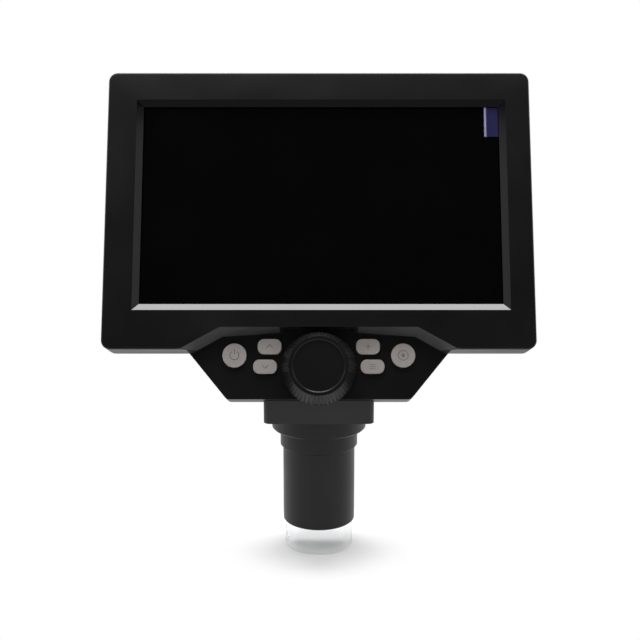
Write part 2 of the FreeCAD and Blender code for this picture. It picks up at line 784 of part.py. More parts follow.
# Focus knob: a knurled cone with a shallow dished face, on a shaft through a flanged bush
knob = turned("focus_knob", [
    ("shaft_radius", "knob_lift"), ("knob_radius", "knob_lift"), ("knob_radius", "knob_lift + knob_skirt"),
    ("knob_face_radius", "knob_lift + knob_height"),
    ("knob_face_radius - knob_dish_margin", "knob_lift + knob_height"),
    ("knob_face_radius - knob_dish_margin - knob_dish", "knob_lift + knob_height - knob_dish"),
    ("0", "knob_lift + knob_height - knob_dish"), ("0", "knob_lift + hub_depth"),
    ("shaft_radius", "knob_lift + hub_depth")], "KnobFrame")
flank_tilt = "atan((knob_radius - knob_face_radius) / (knob_height - knob_skirt))"
flute = knob.newObject("Sketcher::SketchObject", "flute")
flute.AttachmentSupport = (next(f for f in knob.Origin.OriginFeatures if f.Role == "XY_Plane"), [""])
flute.MapMode = "FlatFace"
flute.setExpression(".AttachmentOffset", bound(
    "placement(vector(knob_radius; 0; knob_lift + knurl_start); rotation(vector(0; 1; 0); "
    f"-1 * {flank_tilt}))"))
circle(flute, "knurl_radius")
pocket(knob, "flute_cut", flute, "2 * knob_height", up=True)
ring = knob.newObject("PartDesign::PolarPattern", "knurl")
ring.Originals = [knob.getObject("flute_cut")]
ring.Axis = (next(f for f in knob.Origin.OriginFeatures if f.Role == "Z_Axis"), [""])
ring.Angle = 360
ring.setExpression("Occurrences", bound("knurl_count"))
knob.Tip = ring
keep(knob, "focus_knob")

keep(turned("knob_bush", [
    ("shaft_radius + shaft_play", "-bush_length"), ("bush_radius", "-bush_length"), ("bush_radius", "-wall"),
    ("bush_radius", "0"), ("bush_radius", "knob_lift / 2"), ("shaft_radius + shaft_play", "knob_lift / 2")],
    "KnobFrame"), "knob_bush")
pinion_near = "(pinion_reach - recess_depth - pinion_width / 2)"
bracket_near = f"({pinion_near} + pinion_width + bracket_gap)"
shaft_end = f"({bracket_near} + bracket_thick)"
shaft_step = f"-({pinion_near} - shaft_neck)"
keep(turned("knob_shaft", [
    ("0", f"-{shaft_end}"), ("shaft_tail_radius", f"-{shaft_end}"),
    ("shaft_tail_radius", shaft_step), ("shaft_radius", shaft_step),
    ("shaft_radius", "knob_lift + hub_depth"), ("0", "knob_lift + hub_depth")], "KnobFrame"), "knob_shaft")
clip_front = "(bush_length + clip_gap)"
keep(turned("shaft_clip", [
    ("shaft_radius", f"-({clip_front} + clip_thick)"), ("clip_radius", f"-({clip_front} + clip_thick)"),
    ("clip_radius", f"-{clip_front}"), ("shaft_radius", f"-{clip_front}")], "KnobFrame"), "shaft_clip")

# Pinion and rack: the rack's teeth lean with the knob's axis, so the carrier rises straight
pitch_radius = "(gear_module * pinion_teeth / 2)"


def tooth_profile(root, tip, root_half, tip_half, side):
    """One tooth as a trapezoid that points along X, from its root to its tip."""
    points = [(root, -root_half), (tip, -tip_half), (tip, tip_half), (root, root_half)]
    corners = [FreeCAD.Vector(side * x, y, 0) for x, y in points]
    return Part.Face(Part.makePolygon(corners + corners[:1]))


module = size("gear_module")
teeth = int(size("pinion_teeth"))
tooth_pitch = math.pi * module
play = size("mesh_play")
pinion_radius = module * teeth / 2
# Tooth halves at root and tip, slimmer than half a pitch by the play on each flank
tip_half = tooth_pitch / 4 - size("tooth_tip_share") * module - play / 2
root_half = tooth_pitch / 4 + size("tooth_root_share") * module - play / 2
root_circle = pinion_radius - size("tooth_fall") * module
tooth_tip = size("tooth_rise") * module
slimmer = size("tooth_root_cut")
pinion_solids = [Part.makeCylinder(root_circle, size("pinion_width"))]
for number in range(teeth):
    tooth = tooth_profile(root_circle * slimmer, pinion_radius + tooth_tip, root_half * slimmer, tip_half, 1)
    tooth = tooth.extrude(FreeCAD.Vector(0, 0, size("pinion_width")))
    tooth.rotate(FreeCAD.Vector(0, 0, 0), FreeCAD.Vector(0, 0, 1), 360 * number / teeth)
    pinion_solids.append(tooth)
pinion = doc.addObject("Part::Feature", "focus_pinion")
pinion_shape = pinion_solids[0].multiFuse(pinion_solids[1:])
pinion.Shape = pinion_shape.cut(Part.makeCylinder(size("shaft_tail_radius"), size("pinion_width")))
place(pinion, 0, 0, f"-({pinion_near} + pinion_width)", "KnobFrame")
keep(pinion, "focus_pinion")

# Lens carrier: a sliding tube with two lens seats, and an arm that carries the rack
carrier_radius = "(barrel_bore - carrier_play)"
carrier_top = "(carrier_foot + carrier_length)"
front_seat = "(carrier_foot + retainer_thick + front_lens_thick)"
rear_seat = f"({carrier_top} - carrier_wall - rear_lens_thick)"
carrier = turned("carrier_tube", [
    ("front_lens_radius + seat_gap", "carrier_foot"), (carrier_radius, "carrier_foot"),
    (carrier_radius, carrier_top), ("rear_lens_radius + seat_gap", carrier_top),
    ("rear_lens_radius + seat_gap", rear_seat), ("rear_lens_radius - lens_stop", rear_seat),
    ("rear_lens_radius - lens_stop", f"{front_seat} + lens_stop"),
    ("front_lens_radius - lens_stop", f"{front_seat}"), ("front_lens_radius + seat_gap", front_seat)])
arm_middle = "-(arm_back + arm_depth / 2)"
mesh_height = ("(screen_rise - knob_drop * cos(lean_angle) - pinion_reach * sin(lean_angle))")
arm_top = f"({mesh_height} + rack_half)"
arm_inner = f"({pitch_radius} + tooth_fall * gear_module)"
arm = box("carrier_arm", f"arm_outer - {arm_inner}", "arm_depth", f"{arm_top} - {carrier_top} + carrier_wall",
          f"(arm_outer + {arm_inner}) / 2", arm_middle, f"{carrier_top} - carrier_wall")
groove = box("carrier_groove", "groove_width", "groove_depth * 2", "carrier_length", "0", carrier_radius,
             "carrier_foot")
lean = math.radians(size("lean_angle"))
rack_height = (size("screen_rise") - size("knob_drop") * math.cos(lean)
               - size("pinion_reach") * math.sin(lean))
rack_middle = -(size("arm_back") + size("arm_depth") / 2)
pinion_centre = -size("setback") - size("knob_drop") * math.sin(lean) + size("pinion_reach") * math.cos(lean)
rack_solids = []
rack_reach = size("rack_half") * math.cos(lean) - size("arm_depth") / 2 * math.sin(lean) - root_half
rack_teeth = int(rack_reach / tooth_pitch - 0.5)
for number in range(-rack_teeth, rack_teeth):
    face = tooth_profile(-(pinion_radius + size("rack_fall") * module), -(pinion_radius - tooth_tip),
                         root_half, tip_half * slimmer, -1)
    tooth = face.extrude(FreeCAD.Vector(0, 0, size("arm_depth") * 2))
    tooth.translate(FreeCAD.Vector(0, (number + 0.5) * tooth_pitch, -size("arm_depth")))
    rack_solids.append(tooth)
rack_bars = Part.makeCompound(rack_solids)
rack_bars.Placement = FreeCAD.Placement(
    FreeCAD.Vector(0, pinion_centre, rack_height),
    FreeCAD.Rotation(FreeCAD.Vector(1, 0, 0), 90 - size("lean_angle")))
trim_corner = FreeCAD.Vector(0, rack_middle - size("arm_depth") / 2, rack_height - 2 * size("rack_half"))
trim = Part.makeBox(2 * size("arm_outer"), size("arm_depth"), 4 * size("rack_half"), trim_corner)
rack = doc.addObject("Part::Feature", "rack_teeth")
rack.Shape = rack_bars.common(trim)
keep(cut("lens_carrier_part", fuse("carrier_with_arm", [carrier, arm, rack]), [groove]), "lens_carrier")


def lens(label, radius, thick, foot):
    """A lens with two bulging faces and a flat rim."""
    ball = doc.addObject("Part::Sphere", label + "_ball")
    bulge = f"({radius} * lens_bulge)"
    ball.setExpression("Radius", bound(bulge))
    place(ball, 0, 0, f"{foot} + {bulge}")
    lower = rod(label + "_blank", radius, thick, 0, 0, foot)
    upper = doc.addObject("Part::Sphere", label + "_ball_top")
    upper.setExpression("Radius", bound(bulge))
    place(upper, 0, 0, f"{foot} + {thick} - {bulge}")
    item = doc.addObject("Part::MultiCommon", label + "_shape")
    item.Shapes = [lower, ball, upper]
    return keep(item, label)


lens("lens_front", "front_lens_radius", "front_lens_thick", "(carrier_foot + retainer_thick)")
lens("lens_rear", "rear_lens_radius", "rear_lens_thick", rear_seat)


def ring_at(label, outer, inner, foot, thick):
    return keep(turned(label, [(inner, foot), (outer, foot), (outer, f"{foot} + {thick}"),
                               (inner, f"{foot} + {thick}")]), label)


ring_at("lens_retainer", "front_lens_radius", "front_lens_radius - lens_stop", "carrier_foot",
        "retainer_thick")

# Barrel, its collar, the turned mount above it and the nut inside the neck
keep(turned("barrel", [
    ("barrel_bore", "barrel_foot"), ("barrel_radius - barrel_edge", "barrel_foot"),
    ("barrel_radius", "barrel_foot + barrel_edge"), ("barrel_radius", "collar_foot"),
    ("barrel_neck", "collar_foot"), ("barrel_neck", "barrel_top"), ("barrel_bore", "barrel_top")]), "barrel")
keep(turned("barrel_collar", [
    ("barrel_neck + seat_gap", "collar_foot + seat_gap"),
    ("collar_radius - barrel_edge", "collar_foot + seat_gap"),
    ("collar_radius", "collar_foot + barrel_edge"), ("collar_radius", "mount_foot"),
    ("barrel_neck + seat_gap", "mount_foot")]), "barrel_collar")
nut_foot = "(neck_bottom + neck_floor)"
nut_top = f"({nut_foot} + nut_thick)"
keep(turned("barrel_mount", [
    ("barrel_neck + seat_gap", "mount_foot"), ("mount_radius - barrel_edge", "mount_foot"),
    ("mount_radius", "mount_foot + barrel_edge"), ("mount_radius", "neck_bottom"),
    ("spigot_radius", "neck_bottom"), ("spigot_radius", nut_top), ("barrel_bore", nut_top),
    ("barrel_bore", "barrel_top + seat_gap"), ("barrel_neck + seat_gap", "barrel_top + seat_gap")]),
    "barrel_mount")
ring_at("mount_nut", "nut_radius", "spigot_radius + seat_gap", nut_foot, "nut_thick")

# Neck: a hollow casting that closes the light path behind the panel
lean_sin, lean_cos = "sin(lean_angle)", "cos(lean_angle)"


def world_y(up, back):
    """The world's y of a point so far up the bezel and so far behind its face."""
    return f"(-setback + ({up}) * {lean_sin} + ({back}) * {lean_cos})"


def world_z(up, back):
    return f"(screen_rise + ({up}) * {lean_cos} - ({back}) * {lean_sin})"


# Where the neck's front meets the case's underside, and where its roof meets the case's back
front_back = f"((-neck_front + setback + panel_bottom * {lean_sin}) / {lean_cos})"
roof_up = f"((neck_roof - screen_rise + {cover_back} * {lean_sin}) / {lean_cos})"
neck = body("neck_shell")
side = sketch(neck, "side", "YZ_Plane", level="-neck_half")
polygon(side, [
    ("-neck_front", "neck_bottom"), ("neck_back", "neck_bottom"), ("neck_back", "neck_shoulder"),
    ("neck_roof_back", "neck_roof"), (world_y(roof_up, cover_back), "neck_roof"),
    (world_y("-panel_bottom", cover_back), world_z("-panel_bottom", cover_back)),
    ("-neck_front", world_z("-panel_bottom", front_back))])
pad(neck, "neck_block", side, "2 * neck_half")
dress(neck, "PartDesign::Fillet", "neck_front_edges", upright_at(
    [(x, -size("neck_front")) for x in (-size("neck_half"), size("neck_half"))]), "neck_front_round")
dress(neck, "PartDesign::Fillet", "neck_back_edges", upright_at(
    [(x, size("neck_back")) for x in (-size("neck_half"), size("neck_half"))]), "neck_back_round")
room = sketch(neck, "room", "YZ_Plane", level="neck_half - neck_wall")
room_top = "(neck_roof - neck_wall)"
polygon(room, [
    (world_y("-panel_bottom + neck_wall", cover_back), "neck_bottom + neck_floor"),
    ("neck_back - neck_wall", "neck_bottom + neck_floor"),
    ("neck_back - neck_wall", "neck_shoulder - neck_wall"),
    ("neck_roof_back - neck_wall", room_top),
    (world_y(f"{roof_up} - 2 * neck_wall", f"{cover_back} - neck_wall"), room_top),
    (world_y("-panel_bottom + 2 * neck_wall", f"{cover_back} - neck_wall"),
     world_z("-panel_bottom + 2 * neck_wall", f"{cover_back} - neck_wall"))])
pocket(neck, "room_cut", room, "2 * (neck_half - neck_wall)")
neck_hole = sketch(neck, "neck_hole", level="neck_bottom + neck_floor")
circle(neck_hole, "spigot_radius + seat_gap")
pocket(neck, "neck_hole_cut", neck_hole, "neck_floor")
bosses = [rod(f"boss_{number}", "boss_radius", "boss_depth", x, y, f"-({cover_back} + boss_depth)",
              "DisplayFrame") for number, (x, y) in enumerate(NECK_SCREWS, start=1)]
boss_pilots = [rod(f"boss_pilot_{number}", "screw_radius", "neck_screw_length - wall", x, y,
                   f"-({cover_back} + neck_screw_length - wall)", "DisplayFrame")
               for number, (x, y) in enumerate(NECK_SCREWS, start=1)]
keep(cut("neck_part", fuse("neck_with_bosses", [neck] + bosses), boss_pilots), "neck_housing")

# Screws from inside the rear cover into the neck, heads towards the screen
neck_screws = []
for number, (x, y) in enumerate(NECK_SCREWS, start=1):
    shank = rod(f"neck_shank_{number}", "screw_radius", "neck_screw_length", x, y,
                f"-({cover_back} - wall + neck_screw_length)", "DisplayFrame")
    head = rod(f"neck_head_{number}", "screw_head_radius", "screw_head_thick", x, y,
               f"-({cover_back} - wall)", "DisplayFrame")
    neck_screws.append(fuse(f"neck_screw_{number}", [shank, head]))
keep(group("neck_screw_set", neck_screws), "neck_screws")

# Bracket across the neck that carries the shaft's far end
bracket_level = f"-(recess_depth + {bracket_near} + bracket_thick)"
bracket_bar = box("bracket_bar", "2 * (neck_half - neck_wall)", "2 * bracket_half", "bracket_thick",
                  "0", "-knob_drop", bracket_level, "DisplayFrame")
bracket_hole = rod("bracket_hole", "shaft_tail_radius + shaft_play", "bracket_thick", "0", "-knob_drop",
                   bracket_level, "DisplayFrame")
keep(cut("shaft_bracket_part", bracket_bar, [bracket_hole]), "shaft_bracket")

# Camera bracket, board, sensor and filter over the lenses
camera_middle = "(camera_bracket_back - camera_bracket_front) / 2"
camera_depth = "camera_bracket_back + camera_bracket_front"
camera_plate = box("camera_plate", "2 * (neck_half - neck_wall)", camera_depth, "camera_bracket_thick",
                   "0", camera_middle, "camera_floor")
camera_opening = rod("camera_opening", "camera_hole", "camera_bracket_thick", "0", "0", "camera_floor")
keep(cut("camera_bracket_part", camera_plate, [camera_opening]), "camera_bracket")
camera_board_level = "(camera_floor + camera_bracket_thick)"
keep(box("camera_board", "camera_board_width", "camera_board_back + camera_board_front", "camera_board_thick",
         "0", "(camera_board_back - camera_board_front) / 2", camera_board_level), "camera_board")
keep(box("image_sensor", "sensor_side", "sensor_side", "sensor_thick", "0", "0",
         f"{camera_board_level} - sensor_thick"), "image_sensor")
ring_filter = rod("infrared_filter", "camera_hole + lens_stop", "filter_thick", "0", "0",
                  "camera_floor - filter_thick")
keep(ring_filter, "infrared_filter")

# Lamp ring over the clear tip
tip_top = "(barrel_foot + tip_spigot)"
tip_spigot_radius = "(barrel_bore - seat_gap)"
keep(turned("clear_tip", [
    ("0", "0"), ("tip_radius - tip_edge", "0"), ("tip_radius", "tip_edge"), ("tip_radius", "barrel_foot"),
    (tip_spigot_radius, "barrel_foot"), (tip_spigot_radius, tip_top),
    (f"{tip_spigot_radius} - tip_wall", tip_top), (f"{tip_spigot_radius} - tip_wall", "tip_floor"),
    ("0", "tip_floor")]), "clear_tip")
ring_at("lamp_board", "barrel_bore - seat_gap", "lamp_board_hole", tip_top, "lamp_board_thick")
lamps = []
for number in range(int(size("lamp_count"))):
    lamp = doc.addObject("Part::Box", f"lamp_{number + 1}")
    for edge_name, amount in (("Length", "lamp_side"), ("Width", "lamp_side"), ("Height", "lamp_thick")):
        lamp.setExpression(edge_name, bound(amount))
    place(lamp, f"lamp_circle * cos(360 * {number} / lamp_count) - lamp_side / 2",
          f"lamp_circle * sin(360 * {number} / lamp_count) - lamp_side / 2", f"{tip_top} - lamp_thick")
    lamps.append(lamp)
keep(group("lamp_set", lamps), "lamp_leds")

# Flat ribbon from the lamp ring to the camera board, in the carrier's groove
lamp_foot = f"({tip_top} + lamp_board_thick)"
ribbon_top = f"({camera_board_level} + camera_board_thick + ribbon_thick)"
ribbon = body("lamp_ribbon")
ribbon_side = sketch(ribbon, "ribbon_side", "YZ_Plane", level="-ribbon_width / 2")
polygon(ribbon_side, [
    ("ribbon_radius", lamp_foot), ("ribbon_radius + ribbon_thick", lamp_foot),
    ("ribbon_radius + ribbon_thick", ribbon_top), ("camera_board_back - ribbon_width", ribbon_top),
    ("camera_board_back - ribbon_width", f"{ribbon_top} - ribbon_thick"),
    ("ribbon_radius", f"{ribbon_top} - ribbon_thick")])
pad(ribbon, "ribbon_strip", ribbon_side, "ribbon_width")
keep(ribbon, "lamp_ribbon")

# Main board with its chips, battery and side sockets
board_x = "case_width / 2 - wall - board_gap / 4 - board_width / 2"
board_y = "board_low + board_height / 2"
board_back = "(main_board_level + main_board_thick)"
keep(plate("main_board", "board_width", "board_height", "main_board_thick", board_back, board_x, board_y),
     "main_board")
chips = [plate(f"chip_{number}", "chip_side", "chip_side", "chip_thick", f"({board_back} + chip_thick)",
               f"{board_x} + ({number} - 2) * chip_pitch - chip_side / 2", board_y) for number in (1, 2, 3)]
keep(group("chip_set", chips), "board_chips")
edge_x = "case_width / 2 - wall"
keep(plate("usb_socket", "port_depth", "port_width", "port_thick", f"({board_back} + port_thick)",
           f"{edge_x} - port_depth / 2", "port_y"), "usb_socket")
keep(plate("card_socket", "card_depth", "card_width", "card_thick", f"({board_back} + card_thick)",
           f"{edge_x} - card_depth / 2", "card_y"), "card_socket")
keep(plate("battery", "battery_width", "battery_height", "battery_thick",
           "(main_board_level + battery_thick)", "0", "battery_low + battery_height / 2"), "battery")

# Flat cable from the camera board through the rear cover to the main board
flex_back = f"({cover_back} - wall - ribbon_thick)"
flex = body("camera_flex")
flex_side = sketch(flex, "flex_side", "YZ_Plane", level="-flex_width / 2")
flex_low_y = world_y("cable_hole_y", flex_back)
flex_low_z = world_z("cable_hole_y", flex_back)
flex_end_y = world_y("board_low + board_gap", flex_back)
flex_end_z = world_z("board_low + board_gap", flex_back)
thick_y, thick_z = f"ribbon_thick * {lean_cos}", f"ribbon_thick * {lean_sin}"
polygon(flex_side, [
    ("0", ribbon_top), (flex_low_y, flex_low_z), (flex_end_y, flex_end_z),
    (f"{flex_end_y} - {thick_y}", f"{flex_end_z} + {thick_z}"),
    (f"{flex_low_y} - {thick_y} - ribbon_thick", f"{flex_low_z} + {thick_z}"),
    ("-ribbon_thick * 2", f"{ribbon_top} - ribbon_thick / 2")])
pad(flex, "flex_strip", flex_side, "flex_width")
keep(flex, "camera_flex")

doc.recompute()
for item in doc.Objects:
    if "Invalid" in item.State or "Error" in item.State:
        raise ValueError(f"{item.Label} failed: {item.State}")
for item in nodes:
    if item.Shape.isNull() or not item.Shape.isValid():
        raise ValueError(f"{item.Label} has no valid shape")

os.makedirs("parts", exist_ok=True)
for item in nodes:
    item.Shape.exportStep(f"parts/{item.Label}.step")
print(len(nodes), "pieces written")
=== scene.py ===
import json
import math
import bmesh
import bpy
from mathutils import Matrix, Vector


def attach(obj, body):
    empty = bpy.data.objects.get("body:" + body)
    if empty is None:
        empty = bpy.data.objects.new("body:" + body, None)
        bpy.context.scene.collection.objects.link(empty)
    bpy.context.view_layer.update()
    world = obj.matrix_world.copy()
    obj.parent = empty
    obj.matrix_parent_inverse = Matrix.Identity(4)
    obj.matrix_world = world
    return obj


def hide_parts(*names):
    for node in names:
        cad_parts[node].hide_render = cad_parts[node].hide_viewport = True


# Metres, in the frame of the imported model: +Z up along the barrel, -Y towards the viewer
MM = 0.001
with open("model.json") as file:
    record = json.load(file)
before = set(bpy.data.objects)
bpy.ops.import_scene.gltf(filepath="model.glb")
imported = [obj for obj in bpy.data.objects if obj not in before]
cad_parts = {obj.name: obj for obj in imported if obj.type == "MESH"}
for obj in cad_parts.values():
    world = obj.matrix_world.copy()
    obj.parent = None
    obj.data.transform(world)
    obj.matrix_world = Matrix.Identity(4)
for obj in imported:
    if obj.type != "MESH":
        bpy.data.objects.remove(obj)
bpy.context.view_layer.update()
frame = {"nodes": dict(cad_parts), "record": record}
nodes = frame["nodes"]

# Display frame of the part: X right, Y up along the bezel, Z out of the bezel's face
SCREEN_LEAN = 21.5
DISPLAY_TURN = math.radians(90 - SCREEN_LEAN)
DISPLAY_ORIGIN = Vector((0, -28 * MM, 113.2 * MM))
DISPLAY = Matrix.Translation(DISPLAY_ORIGIN) @ Matrix.Rotation(DISPLAY_TURN, 4, "X")
RECESS = 5 * MM

# Regions of the case and the film, in the display frame
WINDOW_MIDDLE = (1 * MM, 51.2 * MM)
WINDOW_HALF = (78 * MM, 44 * MM)
LIP = 2.8 * MM
TAB_LEFT = 72.7 * MM
TAB_BOTTOM = 81.9 * MM
TAB_CURL = 0.95 * MM
TAB_SLACK = 0.05 * MM
SLOPE_REACH = (16.7 * MM, 60 * MM)
SLOPE_HEIGHT = (-12.4 * MM, -2 * MM)
SLOPE_DEPTH = (-4.93 * MM, -0.06 * MM)
SEAM_LEVEL = -9 * MM
SEAM_HALF = 0.14 * MM

# Base colours, linear; each _EDGE colour is what edges turn to, partly real wear and partly painted sheen
CASE = (0.003, 0.003, 0.0032, 1)
# Painted light: the slopes over the control panel are the case's own plastic, drawn lighter where they catch
# light
SLOPE_PAINTED_LIGHT = (0.02, 0.02, 0.0205, 1)
SEAM = (0.001, 0.001, 0.001, 1)
NECK = (0.012, 0.012, 0.0122, 1)
ANODISED = (0.005, 0.005, 0.0052, 1)
ANODISED_EDGE = (0.1, 0.1, 0.105, 1)
KNOB = (0.0035, 0.0035, 0.0037, 1)
KNOB_EDGE = (0.03, 0.03, 0.031, 1)
BUTTON = (0.235, 0.215, 0.203, 1)
BUTTON_EDGE = (0.42, 0.39, 0.37, 1)
SYMBOL = (0.15, 0.137, 0.128, 1)
SCREEN = (0.001, 0.001, 0.0012, 1)
TAB = (0.014, 0.0125, 0.055, 1)
# Painted highlight along the film tab's curled left edge
TAB_CURL_HIGHLIGHT = (0.24, 0.225, 0.38, 1)
CLEAR_PLASTIC = (0.96, 0.965, 0.97, 1)
LENS_GLASS = (0.9, 0.95, 0.93, 1)
STEEL = (0.55, 0.55, 0.57, 1)
SCREW = (0.05, 0.05, 0.052, 1)
SCREW_EDGE = (0.4, 0.4, 0.42, 1)
BRASS = (0.72, 0.52, 0.24, 1)
INNER = (0.03, 0.03, 0.032, 1)
FOAM = (0.02, 0.02, 0.02, 1)
CIRCUIT = (0.02, 0.13, 0.05, 1)
CHIP = (0.025, 0.025, 0.027, 1)
LAMP = (0.85, 0.78, 0.42, 1)
WRAP = (0.25, 0.27, 0.32, 1)
FLEX = (0.5, 0.25, 0.05, 1)

# Shares that all finishes have in common
NOISE_RANGE = (0.3, 0.7)
BROAD_DETAIL = 4.0
FINE_DETAIL = 6.0
# The edge gain and the spread below set the pale edges, which are painted sheen as well as wear
EDGE_GAIN = 2.2
SHEEN_AND_WEAR_SPREAD = (0.5, 1.5)
OVERLAY_BLOTCH = 20 * MM
OVERLAY_SPREAD = 0.15
BEVEL_SAMPLES = 6
SOCKET_NAMES = {"specular": "Specular IOR Level", "metal": "Metallic",
                "clear": "Transmission Weight", "index": "IOR"}

# Smooth shading of the CAD nodes
WELD_GAP = 0.001 * MM
SHARP_ANGLE = math.radians(28)

# Signs on the button caps
SIGN_THICK = 0.03 * MM
BUTTON_PROUD = 1.1 * MM
SIGN_LEVEL = BUTTON_PROUD - RECESS

# Case screws with cross recesses in their heads
SCREW_SPOTS = [(-84, -5.6), (84, -5.6), (-84, 105.2), (84, 105.2), (-46, -12), (46, -12)]
HEAD_RADIUS = 2.4 * MM
HEAD_THICK = 1.4 * MM
HEAD_LEVEL = -12 * MM
DOME_DROP = 0.45
DOME_POWER = 4
SHANK_RADIUS = 1.25 * MM
SHANK_END = 3.6 * MM
CROSS_HALF = 0.3 * MM
CROSS_REACH = 1.35 * MM
CROSS_DEPTH = 0.7 * MM
CROSS_SLOPE = 0.4
RINGS = 26
SPOKES = 72

# Camera fitted to the photograph
CAMERA_PLACE = (0.51 * MM, -477.1 * MM, 212.8 * MM)
CAMERA_PITCH = math.radians(77.5)
CAMERA_LENS = 60.9
SENSOR_WIDTH = 36

# Floor, background and lamps
WHITE = (1, 1, 1, 1)
FLOOR_COLOUR = (0.9, 0.9, 0.9, 1)
FLOOR_HALF = 1.5
STAGE_FADE = (0.019, 0.049)
WORLD_LIGHT = 0.5
DIM_FRONT = (-0.1, 0.35)
DIM_LEVEL = 0.03

# Each lamp's name, place, target, width, height and power
LAMPS = [
    ("lamp_top", (0, 0.12, 0.85), (0, 0, 0.12), 0.6, 0.5, 11),
    ("lamp_front_left", (-0.5, -0.35, 1.05), (0, 0, 0.15), 0.4, 0.4, 1.6),
    ("lamp_left", (-0.7, 0.1, 0.3), (0, 0, 0.08), 0.25, 0.5, 2),
    ("lamp_right", (0.7, 0.1, 0.3), (0, 0, 0.08), 0.25, 0.5, 2),
    ("lamp_lip_left", (-0.7, -0.38, 0.5), (0, 0, 0.16), 0.35, 0.35, 0.28),
    ("lamp_lip_right", (0.7, -0.38, 0.5), (0, 0, 0.16), 0.35, 0.35, 0.28),
]


def shader_node(tree, kind, settings=None, values=None):
    """A node with its settings and the values of its unlinked sockets."""
    made = tree.nodes.new(kind)
    for name, value in (settings or {}).items():
        setattr(made, name, value)
    for name, value in (values or {}).items():
        made.inputs[name].default_value = value
    return made


def connect(tree, operand, socket):
    """Puts a number or a plain colour on a socket, or links another socket to it."""
    if isinstance(operand, (int, float, tuple)):
        socket.default_value = operand
    else:
        tree.links.new(operand, socket)


def maths(tree, operation, first, second=0.0):
    """A Math node's result, where each operand is a socket or a number."""
    made = shader_node(tree, "ShaderNodeMath", {"operation": operation})
    connect(tree, first, made.inputs[0])
    connect(tree, second, made.inputs[1])
    return made.outputs[0]


def noise(tree, place, size, detail=BROAD_DETAIL):
    """Noise whose features are about so large, in metres."""
    made = shader_node(tree, "ShaderNodeTexNoise", values={"Scale": 1 / size, "Detail": detail})
    tree.links.new(place, made.inputs["Vector"])
    return made.outputs["Fac"]


def mapped(tree, factor, source, target=(0.0, 1.0), settings=None):
    """Maps a socket's value from one range onto another, clamped at both ends."""
    made = shader_node(tree, "ShaderNodeMapRange", settings, {
        "From Min": source[0], "From Max": source[1], "To Min": target[0], "To Max": target[1]})
    tree.links.new(factor, made.inputs["Value"])
    return made.outputs["Result"]


def between(tree, factor, low, high):
    """Maps noise, which stays near the middle, onto a range."""
    return mapped(tree, factor, NOISE_RANGE, (low, high))


def blend(tree, factor, first, second):
    """Mixes two colours, each a socket or a plain colour."""
    made = shader_node(tree, "ShaderNodeMix", {"data_type": "RGBA"})
    connect(tree, factor, made.inputs[0])
    connect(tree, first, made.inputs[6])
    connect(tree, second, made.inputs[7])
    return made.outputs[2]


def uneven_colour(tree, factor, colour, spread):
    """A colour that wavers with noise by a share to either side."""
    share = between(tree, factor, 0.0, 1.0)
    return blend(tree, share, scaled(colour, 1 - spread), scaled(colour, 1 + spread))


def mix_shaders(tree, factor, first, second, target):
    """Mixes two shaders' outputs and links the result to a socket."""
    mix = shader_node(tree, "ShaderNodeMixShader")
    tree.links.new(factor, mix.inputs["Fac"])
    tree.links.new(first, mix.inputs[1])
    tree.links.new(second, mix.inputs[2])
    tree.links.new(mix.outputs[0], target)


def scaled(colour, factor):
    return tuple(min(1.0, channel * factor) for channel in colour[:3]) + (1,)


def object_place(tree):
    return shader_node(tree, "ShaderNodeTexCoord").outputs["Object"]


def surface(name, colour, rough, grain, depth, blotch=30 * MM, uneven=0.06, spread=0.12, edge_sheen_and_wear=1.2,
            edge=None, bevel=0.35 * MM, strength=0.5, **sockets):
    """A surface with fine grain, uneven gloss, slightly uneven colour and pale edges, which are partly wear
    and partly painted sheen.

    grain and depth are the grain's size and height, blotch the size of its stains and bevel the
    width of the soft edge, in metres. uneven is the spread of roughness, spread that of colour,
    edge_sheen_and_wear how far the edges turn to the edge colour, which is painted sheen as well
    as wear, and strength that of the grain.
    """
    material = bpy.data.materials.new(name)
    material.use_nodes = True
    tree = material.node_tree
    shader = tree.nodes["Principled BSDF"]
    place = object_place(tree)
    broad = noise(tree, place, blotch)
    fine = noise(tree, place, grain, FINE_DETAIL)
    tree.links.new(between(tree, broad, rough - uneven, rough + uneven), shader.inputs["Roughness"])
    mixed = uneven_colour(tree, fine, colour, spread)
    soft = shader_node(tree, "ShaderNodeBevel", {"samples": BEVEL_SAMPLES}, {"Radius": bevel})
    flat = shader_node(tree, "ShaderNodeNewGeometry")
    facing = shader_node(tree, "ShaderNodeVectorMath", {"operation": "DOT_PRODUCT"})
    tree.links.new(soft.outputs["Normal"], facing.inputs[0])
    tree.links.new(flat.outputs["Normal"], facing.inputs[1])
    # Pale edges: partly real wear, partly a painted sheen along the rims
    sheen_and_wear = maths(tree, "MULTIPLY", maths(tree, "SUBTRACT", 1.0, facing.outputs["Value"]), edge_sheen_and_wear)
    sheen_and_wear = maths(tree, "MINIMUM", maths(tree, "MULTIPLY", sheen_and_wear, between(tree, broad, *SHEEN_AND_WEAR_SPREAD)), 1.0)
    tree.links.new(blend(tree, sheen_and_wear, mixed, edge or scaled(colour, EDGE_GAIN)), shader.inputs["Base Color"])
    bump = shader_node(tree, "ShaderNodeBump", values={"Strength": strength, "Distance": depth})
    tree.links.new(fine, bump.inputs["Height"])
    tree.links.new(soft.outputs["Normal"], bump.inputs["Normal"])
    tree.links.new(bump.outputs["Normal"], shader.inputs["Normal"])
    for socket, value in sockets.items():
        shader.inputs[SOCKET_NAMES[socket]].default_value = value
    return material


def display_place(tree):
    """The point on the surface in the display frame, as three sockets."""
    mapping = shader_node(tree, "ShaderNodeMapping", values={
        "Rotation": (-DISPLAY_TURN, 0, 0), "Location": tuple(DISPLAY.inverted().translation)})
    tree.links.new(object_place(tree), mapping.inputs["Vector"])
    split = shader_node(tree, "ShaderNodeSeparateXYZ")
    tree.links.new(mapping.outputs["Vector"], split.inputs["Vector"])
    return split.outputs


